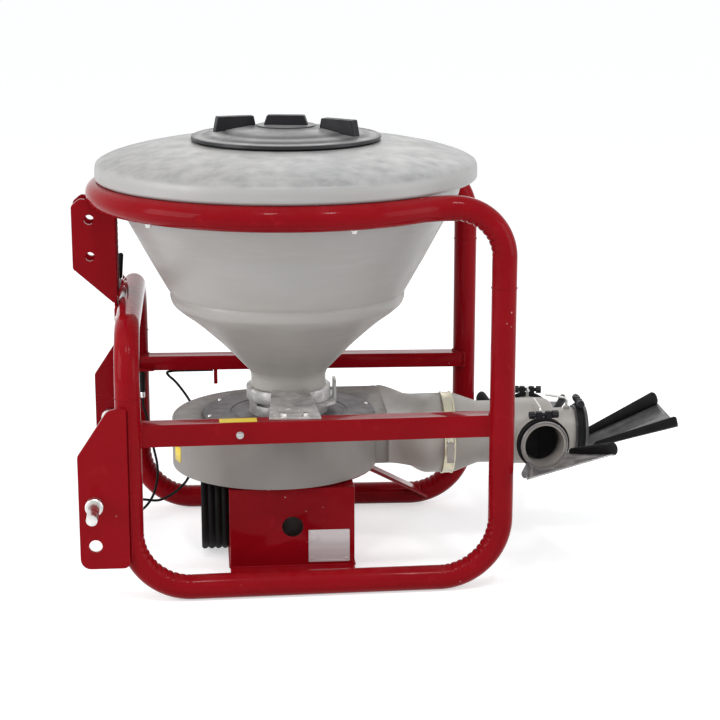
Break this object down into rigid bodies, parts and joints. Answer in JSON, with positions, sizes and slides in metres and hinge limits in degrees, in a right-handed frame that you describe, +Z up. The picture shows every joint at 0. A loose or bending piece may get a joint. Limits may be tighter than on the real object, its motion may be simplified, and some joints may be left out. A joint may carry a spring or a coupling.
{
  "type": "powder spreader",
  "caption": "Tractor-mounted powder spreader: conical hopper in a bent-tube frame over a geared fan whose duct feeds a head with deflectors.",
  "frame": {"origin": "on the ground under the middle of the machine's bounding box", "axes": "+X to the machine's rear, where the distributor head is, +Y to its left side, +Z up"},
  "size_m": [1.22, 0.835, 0.9015],
  "materials": {
    "red_paint": "gloss enamel over hand-bent tube",
    "zinc": "zinc plated, slightly yellow",
    "steel": "bright machined",
    "cast_aluminium": "rough casting",
    "hopper_plastic": "translucent polythene, dusty",
    "grey_plastic": "moulded, warm grey",
    "dark_plastic": "moulded, dark grey",
    "black_plastic": "moulded, black",
    "rubber": "matt black"
  },
  "bodies": {
    "frame": {"hoop_tube": "red_paint", "near_side_tube": "red_paint", "far_side_tube": "red_paint", "front_arch_tube": "red_paint", "near_crossbar": "red_paint", "far_crossbar": "red_paint", "near_link_plate": "red_paint", "far_link_plate": "red_paint", "near_link_pin": "zinc", "far_link_pin": "zinc", "near_top_link_ear": "red_paint", "far_top_link_ear": "red_paint", "top_link_back_plate": "red_paint", "floor_plate": "red_paint", "pedestal": "red_paint", "fan_base_plate": "red_paint", "base_strut": "red_paint", "fan_casing": "grey_plastic", "inlet_plate": "dark_plastic", "gear_case": "cast_aluminium", "pto_bearing": "steel", "pto_guard": "rubber", "outlet_duct": "grey_plastic", "duct_cone": "grey_plastic", "strap_clamp": "zinc", "distributor_head": "grey_plastic", "near_clamp_band": "black_plastic", "rear_clamp_band": "black_plastic", "far_clamp_band": "black_plastic", "hopper": "hopper_plastic", "gate_ring": "cast_aluminium", "near_gate_bracket": "cast_aluminium", "far_gate_bracket": "cast_aluminium", "lever_bracket": "red_paint", "lever_bolt": "zinc", "control_cable": "rubber", "cable_anchor": "red_paint", "cable_boot": "rubber"},
    "rotor": {"fan_wheel": "cast_aluminium", "fan_shaft": "steel", "agitator": "steel"},
    "input": {"pto_shaft": "steel", "crown_wheel": "steel"},
    "seal": {"lid_seal": "rubber"},
    "cover": {"lid": "black_plastic"},
    "shutter": {"gate_shutter": "cast_aluminium"},
    "gate_hand_lever": {"gate_lever": "steel", "gate_lever_grip": "black_plastic"},
    "dose_hand_lever": {"dose_lever": "steel", "dose_lever_grip": "black_plastic"},
    "near_flap": {"near_port_flap": "zinc"},
    "rear_flap": {"rear_port_flap": "zinc"},
    "far_flap": {"far_port_flap": "zinc"},
    "near_spout": {"near_deflector": "dark_plastic"},
    "rear_spout": {"rear_deflector": "dark_plastic"},
    "far_spout": {"far_deflector": "dark_plastic"},
    "near_screw": {"near_clamp_screw": "black_plastic"},
    "rear_screw": {"rear_clamp_screw": "black_plastic"},
    "far_screw": {"far_clamp_screw": "black_plastic"},
    "latch": {"strap_latch": "zinc"}
  },
  "joints": [
    {"name": "lid_lift", "type": "slide", "parent": "frame", "child": "seal", "axis": [0, 0, 1], "range_m": [0, 0.15]},
    {"name": "lid_turn", "type": "hinge", "parent": "seal", "child": "cover", "pos_m": [-0.183, 0, 0.86], "axis": [0, 0, 1], "range_deg": [0, 60]},
    {"name": "rotor_spin", "type": "hinge", "parent": "frame", "child": "rotor", "pos_m": [-0.183, 0, 0.2], "axis": [0, 0, 1], "continuous": true},
    {"name": "input_spin", "type": "hinge", "parent": "frame", "child": "input", "pos_m": [-0.3, 0, 0.095], "axis": [1, 0, 0], "continuous": true},
    {"name": "gate_slide", "type": "slide", "parent": "frame", "child": "shutter", "axis": [1, 0, 0], "range_m": [0, 0.06]},
    {"name": "gate_lever_swing", "type": "hinge", "parent": "frame", "child": "gate_hand_lever", "pos_m": [-0.5327, 0.154, 0.468], "axis": [0, 1, 0], "range_deg": [-30, 0]},
    {"name": "dose_lever_swing", "type": "hinge", "parent": "frame", "child": "dose_hand_lever", "pos_m": [-0.5327, 0.176, 0.468], "axis": [0, 1, 0], "range_deg": [-30, 0]},
    {"name": "near_flap_turn", "type": "hinge", "parent": "frame", "child": "near_flap", "pos_m": [0.3261, -0.0775, 0.24085], "axis": [0, 0, 1], "range_deg": [0, 90]},
    {"name": "rear_flap_turn", "type": "hinge", "parent": "frame", "child": "rear_flap", "pos_m": [0.395, 0, 0.24085], "axis": [0, 0, 1], "range_deg": [0, 90]},
    {"name": "far_flap_turn", "type": "hinge", "parent": "frame", "child": "far_flap", "pos_m": [0.3261, 0.0775, 0.24085], "axis": [0, 0, 1], "range_deg": [0, 90]},
    {"name": "near_spout_turn", "type": "hinge", "parent": "frame", "child": "near_spout", "pos_m": [0.33042, -0.11421, 0.24085], "axis": [0.1167, -0.9932, 0], "range_deg": [-30, 30]},
    {"name": "rear_spout_turn", "type": "hinge", "parent": "frame", "child": "rear_spout", "pos_m": [0.432, 0, 0.24085], "axis": [1, 0, 0], "range_deg": [-30, 30]},
    {"name": "far_spout_turn", "type": "hinge", "parent": "frame", "child": "far_spout", "pos_m": [0.33042, 0.11421, 0.24085], "axis": [0.1167, 0.9932, 0], "range_deg": [-30, 30]},
    {"name": "near_screw_turn", "type": "hinge", "parent": "frame", "child": "near_screw", "pos_m": [0.32902, -0.1023, 0.30175], "axis": [0.9932, 0.1167, 0], "continuous": true},
    {"name": "rear_screw_turn", "type": "hinge", "parent": "frame", "child": "rear_screw", "pos_m": [0.42, 0, 0.30175], "axis": [0, 1, 0], "continuous": true},
    {"name": "far_screw_turn", "type": "hinge", "parent": "frame", "child": "far_screw", "pos_m": [0.32902, 0.1023, 0.30175], "axis": [-0.9932, 0.1167, 0], "continuous": true},
    {"name": "latch_swing", "type": "hinge", "parent": "frame", "child": "latch", "pos_m": [0.142, -0.0899, 0.24185], "axis": [1, 0, 0], "range_deg": [-120, 0]}
  ],
  "couplings": [
    {"joint": "input_spin", "follows": "rotor_spin", "ratio": 0.25},
    {"joint": "gate_lever_swing", "follows": "gate_slide", "rad_per_m": -8.72}
  ]
}
